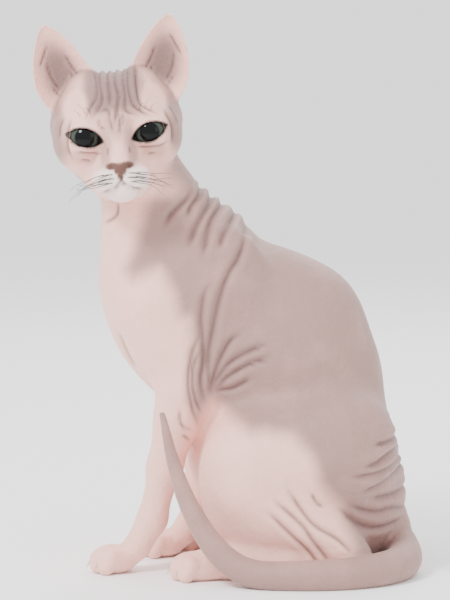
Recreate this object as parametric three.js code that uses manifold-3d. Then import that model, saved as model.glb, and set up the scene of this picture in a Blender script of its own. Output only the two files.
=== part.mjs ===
// A life-size sphynx cat, sitting, with its head turned to its left and its tail round its left side.
// Millimetres. +X is the cat's left, -Y the way it faces, +Z up, and the floor is Z 0.
// The body is one smooth distance field of bones and masses.
// Each node is meshed from it, and thin cuts part the nodes.
import * as THREE from "three";
import { mergeVertices } from "three/addons/utils/BufferGeometryUtils.js";
import Module from "manifold-3d";

const wasm = await Module();
wasm.setup();

// Driving sizes of the animal.
const GAP = 0.3; // left between touching nodes
const HEAD_AT = [24, -90, 312.5]; // middle of the skull, at eye height
const HEAD_TURN = { yaw: 92, pitch: 2, roll: 5.2 }; // degrees, from facing -Y
const EYE_AT = [22.6, 24.5, 0]; // left eye, in the head's own frame: left, forward, up
const EYE_RADIUS = 11.6;
const LID_THICKNESS = 1.9;
const EYE_SLANT = 17; // degrees, outer corner up
const LID_ARC = { radius: 16, offset: 9.6 }; // the two arcs of the lid opening
const EAR = { base: [28, -3, 24], tip: [45, -4, 81], across: [26, 2, -30] }; // left ear, head frame
const PAW_WIDTH = 31;
const TOE_RADIUS = 6;
const FOREPAW_STAGGER = 33; // the right forepaw stands this far behind the left one
const TAIL_ROOT_RADIUS = 12.5;
const TAIL_TIP_RADIUS = 1.9;
const FLOOR_SINK = 0.6; // soles reach this far under the floor before they are cut flat

// Small vector helpers on [x, y, z].
const add = (a, b) => [a[0] + b[0], a[1] + b[1], a[2] + b[2]];
const sub = (a, b) => [a[0] - b[0], a[1] - b[1], a[2] - b[2]];
const scale = (a, s) => [a[0] * s, a[1] * s, a[2] * s];
const dot = (a, b) => a[0] * b[0] + a[1] * b[1] + a[2] * b[2];
const length = (a) => Math.hypot(a[0], a[1], a[2]);
const unit = (a) => scale(a, 1 / length(a));
const blend = (a, b, t) => add(scale(a, 1 - t), scale(b, t));
const clamp01 = (t) => Math.min(1, Math.max(0, t));
const step = (low, high, value) => {
  const t = clamp01((value - low) / (high - low));
  return t * t * (3 - 2 * t);
};

// Distance fields: negative inside.
function join(a, b, softness) {
  const h = clamp01(0.5 + (0.5 * (b - a)) / softness);
  return b + (a - b) * h - softness * h * (1 - h);
}

// A round bar from a to b whose radius runs from ra to rb.
function bone(p, a, b, ra, rb) {
  const ab = sub(b, a);
  const ap = sub(p, a);
  const t = clamp01(dot(ap, ab) / dot(ab, ab));
  return length(sub(ap, scale(ab, t))) - (ra + (rb - ra) * t);
}

// An ellipsoid, tilted about X and turned about Z by degrees.
function mass(p, centre, radii, tilt = 0, turn = 0) {
  const q = sub(p, centre);
  const [ct, st] = [Math.cos((turn * Math.PI) / 180), Math.sin((turn * Math.PI) / 180)];
  const x = q[0] * ct + q[1] * st;
  const y1 = -q[0] * st + q[1] * ct;
  const [ci, si] = [Math.cos((tilt * Math.PI) / 180), Math.sin((tilt * Math.PI) / 180)];
  const y = y1 * ci + q[2] * si;
  const z = -y1 * si + q[2] * ci;
  const near = Math.hypot(x / radii[0], y / radii[1], z / radii[2]);
  const far = Math.hypot(x / radii[0] ** 2, y / radii[1] ** 2, z / radii[2] ** 2);
  return (near * (near - 1)) / Math.max(far, 1e-6);
}

// A chain of bones through the points, with one radius at each.
function chain(p, points, radii, softness) {
  let d = bone(p, points[0], points[1], radii[0], radii[1]);
  for (let i = 1; i + 1 < points.length; i++)
    d = join(d, bone(p, points[i], points[i + 1], radii[i], radii[i + 1]), softness);
  return d;
}

// Puffed ridges with narrow valleys, one for each unit of phase.
const ridges = (phase, level) => Math.abs(Math.sin(Math.PI * phase)) ** 0.7 - level;

// The head's frame: rows are left, forward and up.
const HEAD_AXES = (() => {
  const [yaw, pitch, roll] = ["yaw", "pitch", "roll"].map((k) => (HEAD_TURN[k] * Math.PI) / 180);
  const forward = [Math.sin(yaw) * Math.cos(pitch), -Math.cos(yaw) * Math.cos(pitch), Math.sin(pitch)];
  const left = [Math.cos(yaw), Math.sin(yaw), 0];
  const up = [
    forward[1] * left[2] - forward[2] * left[1],
    forward[2] * left[0] - forward[0] * left[2],
    forward[0] * left[1] - forward[1] * left[0],
  ];
  const tilted = (a, b, s) => add(scale(a, Math.cos(roll)), scale(b, s * Math.sin(roll)));
  return [tilted(left, up, 1), forward, tilted(up, left, -1)];
})();
const toHead = (p) => HEAD_AXES.map((axis) => dot(sub(p, HEAD_AT), axis));
const fromHead = (q) => HEAD_AXES.reduce((sum, axis, i) => add(sum, scale(axis, q[i])), HEAD_AT);

// Torso: rib cage, breast, loin, rump, belly, shoulder blades and upper arms.
function torsoField(p) {
  const m = [Math.abs(p[0]), p[1], p[2]];
  let d = mass(p, [0, -34, 172], [49, 54.5, 78.5], 44.5);
  d = join(d, mass(p, [0, -67, 222], [38, 33.5, 43], 13), 22);
  d = join(d, mass(p, [0, 35, 147.5], [52, 60, 83.5], 27), 30);
  d = join(d, bone(p, [0, 6, 197], [0, 44, 180], 36, 37), 16);
  d = join(d, mass(p, [0, 66, 56], [54, 50.5, 66.5], 4.5), 24);
  d = join(d, mass(p, [0, 6, 88], [50, 48, 54]), 20);
  d = join(d, mass(m, [33, -20, 200], [17, 30, 46], -24), 14);
  d = join(d, bone(m, [33, -67, 190], [36, -42, 140], 22, 18), 16);
  return join(d, bone(p, [0, 92, 36], [5, 108, 27], 15, 12), 12);
}

function neckField(p) {
  return chain(p, [[0, -40, 226], [0, -64, 256], [0, -80, 291]], [46, 34, 31], 10);
}

// Four toes fanned in front of the palm. heel and toe are points on the floor.
function pawField(p, heel, toe, side) {
  const forward = unit(sub(toe, heel));
  const across = [-forward[1] * side, forward[0] * side, 0];
  const place = (back, out, up) =>
    add(add(toe, scale(forward, -back)), add(scale(across, out), [0, 0, up]));
  const turn = (Math.atan2(-forward[0], forward[1]) * 180) / Math.PI;
  let d = mass(p, place(17, 0, 9), [PAW_WIDTH * 0.48, 17, 10.5], 0, turn);
  for (const [share, back] of [[-0.37, 12.5], [-0.13, 7], [0.13, 6.5], [0.37, 12]]) {
    const tip = place(back, share * PAW_WIDTH, TOE_RADIUS - FLOOR_SINK);
    const root = place(20, share * PAW_WIDTH * 0.75, 11);
    const knuckle = add(blend(root, tip, 0.55), [0, 0, 3.4]);
    const toeField = join(
      bone(p, root, knuckle, TOE_RADIUS - 0.2, TOE_RADIUS + 0.4),
      bone(p, knuckle, tip, TOE_RADIUS + 0.4, TOE_RADIUS),
      2,
    );
    d = join(d, toeField, 1.6);
  }
  return d;
}

// A foreleg from the elbow down; shift moves its paw back.
function forelegField(p, side, shift) {
  const points = [
    [side * 36, -44 + shift * 0.35, 130],
    [side * 31, -57 + shift * 0.75, 76],
    [side * 29, -66 + shift, 38],
    [side * 29, -77 + shift, 18],
  ];
  let d = chain(p, points, [18.5, 11.5, 9.5, 10], 8);
  const elbow = [side * 36, -37 + shift * 0.35, 128];
  d = join(d, bone(p, elbow, [side * 35, -48 + shift * 0.4, 112], 9.5, 12), 10);
  return join(d, pawField(p, [side * 29, -72 + shift, 0], [side * 30, -111 + shift, 0], side), 6);
}

// A folded hind leg: thigh and knee, shank, and the foot flat on the floor.
function hindlegField(p, side) {
  const knee = [side * 54, 5, 84];
  let d = bone(p, [side * 35, 62, 92], knee, 46, 32);
  d = join(d, mass(p, [side * 48, 24, 66], [26, 56, 56]), 14);
  d = join(d, bone(p, [side * 54, 3, 66], [side * 58, 66, 24], 26, 15), 12);
  const foot = [[side * 58, 76, 16], [side * 57, 30, 11], [side * 56, -24, 11.5]];
  d = join(d, chain(p, foot, [14, 11.5, 11.5], 6), 8);
  return join(d, pawField(p, [side * 56, -14, 0], [side * 55, -53, 0], side), 6);
}

// Rolls of loose skin over the nape and shoulders, and round the rump.
const NAPE_PITCH = 10.5;
const RUMP_PITCH = 11;
function rollsHeight(p) {
  const [x, y, z] = p;
  const along = (y + 42) * 0.69 - (z - 284) * 0.72;
  const phase = (along - 1 + 0.06 * Math.abs(x)) / NAPE_PITCH;
  const nape =
    step(-8, 2, along) *
    (1 - step(54, 62, along)) *
    step(-34, 4, (y + 60) * 0.72 + (z - 225) * 0.69);
  const rump = step(34, 44, z) * (1 - step(96, 108, z)) * step(72, 100, y);
  const low = (z - 41) / RUMP_PITCH;
  return nape * ridges(phase, 0.75) * 3.1 + rump * ridges(low, 0.75) * 2.6;
}

// Head without ears, in its own frame.
function skullField(q) {
  const m = [Math.abs(q[0]), q[1], q[2]];
  let d = mass(q, [0, -9, 11], [36, 43, 34]);
  d = join(d, mass(m, [25.5, 2, -1], [20, 27, 24], 0, -12), 12);
  d = join(d, bone(m, [20, -14, -20], [9, 24, -34], 13, 11), 10);
  d = join(d, mass(m, [15, 19, 13], [14, 14, 11]), 8);
  d = join(d, bone(q, [0, 20, 12], [0, 45, -16], 11, 7), 9);
  d = join(d, bone(q, [0, 22, -21], [0, 36, -27], 19, 14.5), 9);
  d = join(d, mass(m, [9, 41, -29.5], [11.5, 11.5, 9], 0, -25), 3.5);
  d = join(d, mass(q, [0, 38, -39.5], [11, 9.5, 7.5]), 3.5);
  d = join(d, mass(q, [0, 48.5, -22], [7.5, 6.5, 6]), 3);
  d = join(d, bone(m, [20, -8, 33], [33, -9, 11], 13, 13), 10);
  return join(d, length(sub(m, EYE_AT)) - EYE_RADIUS - LID_THICKNESS, 3.5);
}

// Upright wrinkles of the forehead, which part over the brows.
const WRINKLE_PITCH = 8.5;
function foreheadHeight(q) {
  const spread = 1 + 1.1 * (1 - step(8, 40, q[2])) ** 1.5;
  const across = q[0] / spread;
  const where = step(6, 20, q[2]) * (1 - step(17, 24, Math.abs(across))) * step(-30, -10, q[1]);
  return where * ridges(across / WRINKLE_PITCH + 0.5, 0.7) * 2;
}

const HEAD_REACH = 90; // beyond this from its middle the head is a plain ball
function bodyField(p) {
  const q = toHead(p);
  const out = length(q);
  const skull = out > HEAD_REACH ? out - 60 : skullField(q) - foreheadHeight(q);
  if (p[2] > 320 || (out < 40 && p[2] > 300)) return join(neckField(p), skull, 9);
  let d = join(torsoField(p), neckField(p), 16);
  if (p[2] < 190) {
    const side = p[0] > 0 ? 1 : -1;
    d = join(d, hindlegField(p, side), 12);
    d = join(d, forelegField(p, side, side > 0 ? 0 : FOREPAW_STAGGER), 10);
  }
  return join(d - rollsHeight(p), skull, 9);
}

// Meshing: one vertex in each cell that the surface crosses, then pulled onto the surface.
function surfaceNets(field, low, high, cell) {
  const count = low.map((l, i) => Math.ceil((high[i] - l) / cell) + 1);
  const index = (i, j, k) => (i * count[1] + j) * count[2] + k;
  const at = (i, j, k) => [low[0] + i * cell, low[1] + j * cell, low[2] + k * cell];
  const value = new Float64Array(count[0] * count[1] * count[2]);
  // Blocks of cells far from the surface are filled with the value at their middle.
  const block = 4;
  const far = block * cell * 1.3;
  for (let bi = 0; bi < count[0]; bi += block)
    for (let bj = 0; bj < count[1]; bj += block)
      for (let bk = 0; bk < count[2]; bk += block) {
        const centre = field(at(bi + block / 2, bj + block / 2, bk + block / 2));
        for (let i = bi; i < Math.min(bi + block, count[0]); i++)
          for (let j = bj; j < Math.min(bj + block, count[1]); j++)
            for (let k = bk; k < Math.min(bk + block, count[2]); k++) {
              const rim = [i, j, k].some((v, axis) => v === 0 || v === count[axis] - 1);
              const v = Math.abs(centre) > far ? centre : field(at(i, j, k));
              value[index(i, j, k)] = rim ? Math.max(v, cell * 0.4) : v;
            }
      }
  const made = new Map();
  const sums = [];
  const cellVertex = (c, point) => {
    const key = index(...c);
    if (!made.has(key)) {
      made.set(key, sums.length);
      sums.push([0, 0, 0, 0]);
    }
    const sum = sums[made.get(key)];
    point.forEach((v, axis) => (sum[axis] += v));
    sum[3] += 1;
    return made.get(key);
  };
  const triangles = [];
  for (let i = 0; i < count[0] - 1; i++)
    for (let j = 0; j < count[1] - 1; j++)
      for (let k = 0; k < count[2] - 1; k++)
        for (let axis = 0; axis < 3; axis++) {
          const here = [i, j, k];
          const next = here.map((v, n) => v + (n === axis ? 1 : 0));
          const [a, b] = [value[index(...here)], value[index(...next)]];
          if (a < 0 === b < 0) continue;
          const point = blend(at(...here), at(...next), a / (a - b));
          const [u, v] = [(axis + 1) % 3, (axis + 2) % 3];
          const ring = [[0, 0], [1, 0], [1, 1], [0, 1]].map(([du, dv]) => {
            const c = [...here];
            c[u] -= du;
            c[v] -= dv;
            return cellVertex(c, point);
          });
          if (a >= 0) ring.reverse();
          triangles.push([ring[0], ring[1], ring[2]], [ring[0], ring[2], ring[3]]);
        }
  return { points: sums.map((s) => scale(s, 1 / s[3])), triangles };
}

// Splits each triangle of the zone in four, and its neighbours to match.
function refine(mesh, inZone) {
  const { points, triangles } = mesh;
  const middle = new Map();
  const key = (a, b) => (a < b ? a * 1e6 + b : b * 1e6 + a);
  for (const t of triangles)
    if (t.every((v) => inZone(points[v])))
      t.forEach((a, n) => {
        const b = t[(n + 1) % 3];
        if (middle.has(key(a, b))) return;
        middle.set(key(a, b), points.length);
        points.push(blend(points[a], points[b], 0.5));
      });
  mesh.triangles = triangles.flatMap((t) => {
    const cut = t.map((a, n) => middle.get(key(a, t[(n + 1) % 3])));
    const cuts = cut.filter((m) => m !== undefined).length;
    if (cuts === 0) return [t];
    if (cuts === 3)
      return [[t[0], cut[0], cut[2]], [cut[0], t[1], cut[1]], [cut[2], cut[1], t[2]], cut];
    const n = cuts === 1 ? cut.findIndex((m) => m !== undefined) : cut.findIndex((m) => m === undefined);
    const [a, b, c] = [t[n], t[(n + 1) % 3], t[(n + 2) % 3]];
    if (cuts === 1) return [[a, cut[n], c], [cut[n], b, c]];
    const [bc, ca] = [cut[(n + 1) % 3], cut[(n + 2) % 3]];
    return [[a, b, bc], [a, bc, ca], [ca, bc, c]];
  });
  return mesh;
}

const REACH = 0.2; // half the span over which a slope is measured
const slopeAt = (field, p) =>
  [0, 1, 2].map((axis) => {
    const nudge = [0, 0, 0];
    nudge[axis] = REACH;
    return (field(add(p, nudge)) - field(sub(p, nudge))) / (2 * REACH);
  });

// Moves each vertex along the slope until the field is zero there.
function settle(mesh, field, most) {
  mesh.points = mesh.points.map((start) => {
    let p = start;
    for (let n = 0; n < 4; n++) {
      const slope = slopeAt(field, p);
      const move = scale(slope, field(p) / Math.max(dot(slope, slope), 0.1));
      p = sub(p, scale(move, Math.min(1, most / Math.max(length(move), 1e-9))));
    }
    return p;
  });
  return mesh;
}

// The same mesh a little larger, with each vertex moved out along the slope.
function grown({ points, triangles }, field, amount) {
  const out = points.map((p) => add(p, scale(unit(slopeAt(field, p)), amount)));
  return { points: out, triangles };
}

// Between three.js geometry and solids that can be joined and cut.
function solidOf(geometry) {
  const plain = new THREE.BufferGeometry();
  plain.setAttribute("position", geometry.getAttribute("position"));
  plain.setIndex(geometry.getIndex());
  const merged = mergeVertices(plain, 1e-4);
  const vertProperties = new Float32Array(merged.getAttribute("position").array);
  const triVerts = new Uint32Array(merged.getIndex().array);
  return new wasm.Manifold(new wasm.Mesh({ numProp: 3, vertProperties, triVerts }));
}

function geometryOf(solid) {
  const { vertProperties, triVerts } = solid.getMesh();
  const geometry = new THREE.BufferGeometry();
  geometry.setAttribute("position", new THREE.BufferAttribute(new Float32Array(vertProperties), 3));
  geometry.setIndex(new THREE.BufferAttribute(new Uint32Array(triVerts), 1));
  return geometry;
}

// Where two sheets of a surface touch at one point, draws each copy of it towards its own neighbours.
function unpinched(geometry) {
  const position = geometry.getAttribute("position");
  const index = geometry.getIndex().array;
  const at = (v) => [position.getX(v), position.getY(v), position.getZ(v)];
  const copies = new Map();
  for (let v = 0; v < position.count; v++) {
    const key = at(v).map((c) => Math.round(c * 500)).join();
    copies.set(key, [...(copies.get(key) ?? []), v]);
  }
  for (const twins of copies.values()) {
    if (twins.length < 2) continue;
    for (const v of twins) {
      const near = [];
      for (let i = 0; i < index.length; i += 3) {
        const corners = [index[i], index[i + 1], index[i + 2]];
        if (corners.includes(v)) near.push(...corners.filter((c) => c !== v).map(at));
      }
      const middle = scale(near.reduce(add, [0, 0, 0]), 1 / near.length);
      position.setXYZ(v, ...blend(at(v), middle, 0.04));
    }
  }
  return geometry;
}

// Merges vertices that a cut left almost touching, at the largest distance that keeps the solid closed.
const WELD_DISTANCES = [0.2, 0.1, 0.05, 0.02, 0.01];
function welded(solid) {
  for (const distance of WELD_DISTANCES) {
    const geometry = mergeVertices(geometryOf(solid), distance);
    const index = [...geometry.getIndex().array];
    const kept = [];
    for (let i = 0; i < index.length; i += 3) {
      const [a, b, c] = index.slice(i, i + 3);
      if (a !== b && b !== c && c !== a) kept.push(a, b, c);
    }
    geometry.setIndex(kept);
    try {
      const result = largest(solidOf(geometry));
      if (Math.abs(result.volume() / solid.volume() - 1) < 1e-3) return unpinched(geometryOf(result));
    } catch {
      continue;
    }
  }
  return unpinched(geometryOf(solid));
}

function meshGeometry({ points, triangles }) {
  const geometry = new THREE.BufferGeometry();
  geometry.setAttribute("position", new THREE.Float32BufferAttribute(points.flat(), 3));
  geometry.setIndex(triangles.flat());
  return geometry;
}

function fieldSolid(field, low, high, cell, zone) {
  const mesh = surfaceNets(field, low, high, cell);
  settle(mesh, field, cell / 2);
  if (zone) settle(refine(mesh, zone), field, cell / 4);
  return solidOf(meshGeometry(mesh));
}

const largest = (solid) =>
  solid.decompose().reduce((best, s) => (s.volume() > best.volume() ? s : best));

// Everything on the side of a plane that its normal points to, as a large box.
function halfSpace(point, normal) {
  const size = 600;
  const box = new THREE.BoxGeometry(size, size, size).translate(0, 0, size / 2);
  const turn = new THREE.Quaternion().setFromUnitVectors(
    new THREE.Vector3(0, 0, 1),
    new THREE.Vector3(...unit(normal)),
  );
  box.applyQuaternion(turn).translate(...point);
  return solidOf(box);
}

const aboveFloor = halfSpace([0, 0, 0], [0, 0, 1]);

// The planes that part head, neck and torso, each with a node on both of its sides.
const THROAT = { at: fromHead([0, 20, -45]), normal: sub(fromHead([0, 0.45, 0.89]), HEAD_AT) };
const COLLAR = { at: [0, -58, 247], normal: [0, -0.45, 0.89] };
const sideOf = (plane, sign) => {
  const normal = scale(unit(plane.normal), sign);
  return halfSpace(add(plane.at, scale(normal, GAP / 2)), normal);
};

// Head, with the lid openings, nostrils and the line of the mouth cut in.
const HEAD_BOX = [[-50, -160, 250], [110, -20, 380]];
function lidShape(grow) {
  const { radius, offset } = LID_ARC;
  const arc = radius + grow;
  const corner = Math.sqrt(arc * arc - offset * offset);
  const half = Math.atan2(offset, corner);
  const shape = new THREE.Shape();
  shape.absarc(0, -offset, arc, half, Math.PI - half, false);
  shape.absarc(0, offset, arc, Math.PI + half, 2 * Math.PI - half, false);
  return shape;
}

// The lid opening as a prism that runs forward from deep in the head.
function lidPrism(side, grow) {
  const depth = 40;
  const back = EYE_AT[1] - 4 - grow;
  const prism = new THREE.ExtrudeGeometry(lidShape(grow), {
    depth,
    bevelEnabled: false,
    curveSegments: 6,
  });
  const slant = (EYE_SLANT * Math.PI * side) / 180;
  prism.rotateZ(slant);
  const matrix = new THREE.Matrix4().makeBasis(
    new THREE.Vector3(...HEAD_AXES[0]),
    new THREE.Vector3(...HEAD_AXES[2]),
    new THREE.Vector3(...HEAD_AXES[1]),
  );
  prism.applyMatrix4(matrix);
  prism.translate(...fromHead([EYE_AT[0] * side, back, EYE_AT[2]]));
  return solidOf(prism);
}

function eyeSolid(side) {
  const ball = new THREE.SphereGeometry(EYE_RADIUS, 16, 10);
  ball.translate(...fromHead([EYE_AT[0] * side, EYE_AT[1], EYE_AT[2]]));
  return solidOf(ball).intersect(lidPrism(side, 0));
}

// A thin round groove along a curve of head points.
function grooveSolid(points, radius) {
  const curve = new THREE.CatmullRomCurve3(points.map((q) => new THREE.Vector3(...fromHead(q))));
  const section = new THREE.Shape().absarc(0, 0, radius, 0, 2 * Math.PI, false);
  const groove = new THREE.ExtrudeGeometry(section, {
    extrudePath: curve,
    steps: points.length * 3,
    curveSegments: 5,
    bevelEnabled: false,
  });
  return solidOf(groove);
}

function nostrilSolid(side) {
  const pit = new THREE.SphereGeometry(1, 10, 8).scale(2, 4, 1.6).rotateZ(side * 0.5);
  pit.applyMatrix4(
    new THREE.Matrix4().makeBasis(...HEAD_AXES.map((axis) => new THREE.Vector3(...axis))),
  );
  pit.translate(...fromHead([side * 4.4, 54, -22.9]));
  return solidOf(pit);
}

// The mouth's line, from under the nose out to its corner.
const LIP_GROOVE = 1;
const lipLine = (side) => [
  [0, 58, -31],
  [side * 4.5, 53.5, -35.5],
  [side * 9.5, 46, -37.8],
  [side * 16, 34, -39.5],
];

function headSolid() {
  const face = (p) => {
    const q = toHead(p);
    const forehead = q[2] > 10 && Math.abs(q[0]) < 27 && q[1] > -14;
    return forehead || (q[1] > 24 && q[2] > -42 && Math.abs(q[0]) < 26);
  };
  let head = fieldSolid(bodyField, ...HEAD_BOX, 6.8, face).intersect(sideOf(THROAT, 1));
  for (const side of [1, -1]) {
    head = head.subtract(lidPrism(side, GAP)).subtract(nostrilSolid(side));
    head = head.subtract(grooveSolid(lipLine(side), LIP_GROOVE));
  }
  return largest(head);
}

// An ear: a cupped sheet, thicker at its base. h is the height above its base along its own middle line
// and t runs from -1 at the inner edge to 1 at the outer one.
const EAR_HEIGHT = length(sub(EAR.tip, EAR.base));
const EAR_UP = unit(sub(EAR.tip, EAR.base));
const EAR_OUT = unit(sub(EAR.across, scale(EAR_UP, dot(EAR.across, EAR_UP))));
const EAR_FRONT = [
  EAR_UP[1] * EAR_OUT[2] - EAR_UP[2] * EAR_OUT[1],
  EAR_UP[2] * EAR_OUT[0] - EAR_UP[0] * EAR_OUT[2],
  EAR_UP[0] * EAR_OUT[1] - EAR_UP[1] * EAR_OUT[0],
];
function earPoint(h, t) {
  const a = h / EAR_HEIGHT;
  const arch = Math.sin(Math.PI * clamp01(a * 0.86 + 0.14));
  const pouch = 2.4 * Math.exp(-(((h - 9) / 2.6) ** 2)) - 1.6 * Math.exp(-(((h - 15) / 3.5) ** 2));
  const taper = Math.sqrt(Math.max(1 - a, 0));
  const inner = -20.5 * taper - 2.8 * arch;
  const outer = 14 * taper + 11.5 * arch ** 0.8 * (1 - 0.3 * a) - pouch;
  const middle = (inner + outer) / 2;
  const halfWidth = (outer - inner) / 2;
  const cup = 1 - t * t;
  const depth = 0.62 * halfWidth * (1 - 0.3 * clamp01(a)) * cup;
  const width = scale(EAR_OUT, middle + t * (halfWidth - 0.4));
  return {
    point: add(add(EAR.base, scale(EAR_UP, h)), add(width, scale(EAR_FRONT, -depth))),
    half: 0.85 + 1.2 * (1 - clamp01(a)) ** 2 * cup + 0.25 * cup,
  };
}

function earSolid(side, rows = 10, columns = 7) {
  const points = [];
  const triangles = [];
  const normalAt = (h, t) => {
    const e = 0.01;
    const du = sub(earPoint(h + e, t).point, earPoint(h - e, t).point);
    const dv = sub(earPoint(h, t + e).point, earPoint(h, t - e).point);
    return unit([
      du[1] * dv[2] - du[2] * dv[1],
      du[2] * dv[0] - du[0] * dv[2],
      du[0] * dv[1] - du[1] * dv[0],
    ]);
  };
  const place = (q) => points.push(fromHead([q[0] * side, q[1], q[2]])) - 1;
  const quad = (a, b, c, d) => {
    const ring = side > 0 ? [d, c, b, a] : [a, b, c, d];
    triangles.push([ring[0], ring[1], ring[2]], [ring[0], ring[2], ring[3]]);
  };
  const faces = [1, -1].map((face) =>
    Array.from({ length: rows + 1 }, (_, i) =>
      Array.from({ length: columns + 1 }, (_, j) => {
        const h = -7 + (EAR_HEIGHT + 6) * Math.sin((Math.PI * i) / (2 * rows)) ** 0.8;
        const t = -0.97 + (1.94 * j) / columns;
        const { point, half } = earPoint(h, t);
        return place(add(point, scale(normalAt(h, t), face * half)));
      }),
    ),
  );
  const [back, front] = faces;
  for (let i = 0; i < rows; i++)
    for (let j = 0; j < columns; j++) {
      quad(back[i][j], back[i + 1][j], back[i + 1][j + 1], back[i][j + 1]);
      quad(front[i][j], front[i][j + 1], front[i + 1][j + 1], front[i + 1][j]);
    }
  for (let i = 0; i < rows; i++) {
    quad(back[i][0], front[i][0], front[i + 1][0], back[i + 1][0]);
    quad(back[i][columns], back[i + 1][columns], front[i + 1][columns], front[i][columns]);
  }
  for (let j = 0; j < columns; j++) {
    quad(back[0][j], back[0][j + 1], front[0][j + 1], front[0][j]);
    quad(back[rows][j], front[rows][j], front[rows][j + 1], back[rows][j + 1]);
  }
  return solidOf(meshGeometry({ points, triangles }));
}

// Tail: a tapering round rope laid along the floor, with its tip raised.
const TAIL_ROUTE = [
  [0, 92, 36], [6, 104, 27], [22, 113, 16], [48, 112, 11], [72, 95, 9.8], [86, 66, 9],
  [89, 32, 8.6], [86, 2, 11], [81, -20, 26], [76, -38, 54], [71, -50, 86], [66, -58, 120],
];
const tailRadius = (a) =>
  TAIL_ROOT_RADIUS * (1 - a) ** 0.9 + 13.2 * a * (1 - a) + TAIL_TIP_RADIUS * a;

function tailSolid() {
  const curve = new THREE.CatmullRomCurve3(TAIL_ROUTE.map((p) => new THREE.Vector3(...p)));
  const steps = 34;
  const sides = 10;
  const frames = curve.computeFrenetFrames(steps, false);
  const points = [];
  const triangles = [];
  for (let i = 0; i <= steps; i++) {
    const centre = curve.getPointAt(i / steps).toArray();
    for (let j = 0; j < sides; j++) {
      const turn = (2 * Math.PI * j) / sides;
      const out = add(
        scale(frames.normals[i].toArray(), Math.cos(turn)),
        scale(frames.binormals[i].toArray(), Math.sin(turn)),
      );
      points.push(add(centre, scale(out, tailRadius(i / steps))));
    }
  }
  const ring = (i, j) => i * sides + (j % sides);
  for (let i = 0; i < steps; i++)
    for (let j = 0; j < sides; j++) {
      triangles.push([ring(i, j), ring(i, j + 1), ring(i + 1, j + 1)]);
      triangles.push([ring(i, j), ring(i + 1, j + 1), ring(i + 1, j)]);
    }
  for (let j = 1; j + 1 < sides; j++) {
    triangles.push([ring(0, 0), ring(0, j + 1), ring(0, j)]);
    triangles.push([ring(steps, 0), ring(steps, j), ring(steps, j + 1)]);
  }
  return { solid: solidOf(meshGeometry({ points, triangles })), curve };
}

// The whole figure.
const cat = new THREE.Group();
const finishes = {
  skin: new THREE.MeshStandardMaterial({ color: 0xd8bdb5, roughness: 0.72, metalness: 0 }),
  pale: new THREE.MeshStandardMaterial({ color: 0xfce0d9, roughness: 0.7, metalness: 0 }),
  ear: new THREE.MeshStandardMaterial({ color: 0xd9b5ac, roughness: 0.7, metalness: 0 }),
  eye: new THREE.MeshStandardMaterial({ color: 0x20282a, roughness: 0.06, metalness: 0 }),
};
function addNode(name, solid, finish) {
  const geometry = welded(solid);
  geometry.computeVertexNormals();
  const mesh = new THREE.Mesh(geometry, finishes[finish]);
  mesh.name = name;
  cat.add(mesh);
}

const head = headSolid();
addNode("head", head, "skin");
for (const [name, side] of [["left", 1], ["right", -1]]) {
  addNode("eye_" + name, eyeSolid(side), "eye");
  const low = fromHead([side * 30 - 32, -34, -6]);
  const high = fromHead([side * 30 + 32, 22, 58]);
  const box = [low.map((v, i) => Math.min(v, high[i]) - 6), low.map((v, i) => Math.max(v, high[i]) + 6)];
  const skull = fieldSolid((p) => bodyField(p) - GAP - 0.4, ...box, 4.5);
  addNode("ear_" + name, largest(earSolid(side).subtract(skull)), "ear");
}

// Where the rolls of skin need a finer surface.
const napeZone = (p) =>
  p[2] > 214 && (p[1] + 60) * 0.72 + (p[2] - 225) * 0.69 > -8 && p[1] < 14;
const rumpZone = (p) => p[1] > 88 && p[2] > 34 && p[2] < 108;

const NECK_BOX = [[-60, -130, 190], [70, 10, 330]];
const neck = fieldSolid(bodyField, ...NECK_BOX, 10, napeZone)
  .intersect(sideOf(THROAT, -1))
  .intersect(sideOf(COLLAR, 1));
addNode("neck", largest(neck), "skin");

const tail = tailSolid();
const torsoBox = [[-100, -130, -12], [100, 140, 300]];
const rolls = (p) => rumpZone(p) || napeZone(p);
let torso = fieldSolid(bodyField, ...torsoBox, 14, rolls)
  .intersect(sideOf(COLLAR, -1))
  .intersect(aboveFloor);

// Each leg is the body within its own field, grown a little to take its share of the fillet.
const LEG_SHARE = 4;
const HIP_PLANE = 15; // the hind legs stop this far from the middle
const legs = [
  ["foreleg_left", (p) => forelegField(p, 1, 0), 1, [[5, -125, -8], [70, 0, 165]], 8],
  ["foreleg_right", (p) => forelegField(p, -1, FOREPAW_STAGGER), -1, [[-70, -95, -8], [-5, 30, 165]], 8],
  ["hindleg_left", (p) => hindlegField(p, 1), 1, [[2, -70, -8], [96, 130, 155]], 11.8],
  ["hindleg_right", (p) => hindlegField(p, -1), -1, [[-96, -70, -8], [-2, 130, 155]], 11.8],
];
const claimed = [];
for (const [name, own, side, box, cell] of legs) {
  const inner = name.startsWith("hind") ? HIP_PLANE : 4;
  const share = (p) => own(p) - LEG_SHARE;
  const wide = box.map((corner, i) => corner.map((v) => v + (i ? 18 : -18)));
  const shell = settle(surfaceNets(share, ...wide, 15), share, 7);
  const region = (grow) =>
    solidOf(meshGeometry(grow ? grown(shell, share, grow) : shell)).intersect(
      halfSpace([side * (inner - grow), 0, 0], [side, 0, 0]),
    );
  const toes = (p) => p[2] < 24 && p[1] < box[0][1] + 48;
  let leg = fieldSolid(bodyField, ...box, cell, toes).intersect(region(0)).intersect(aboveFloor);
  for (const other of claimed) leg = leg.subtract(other);
  addNode(name, largest(leg), "pale");
  const taken = region(GAP);
  claimed.push(taken);
  torso = torso.subtract(taken);
}
torso = largest(torso);
addNode("torso", torso, "skin");

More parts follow.
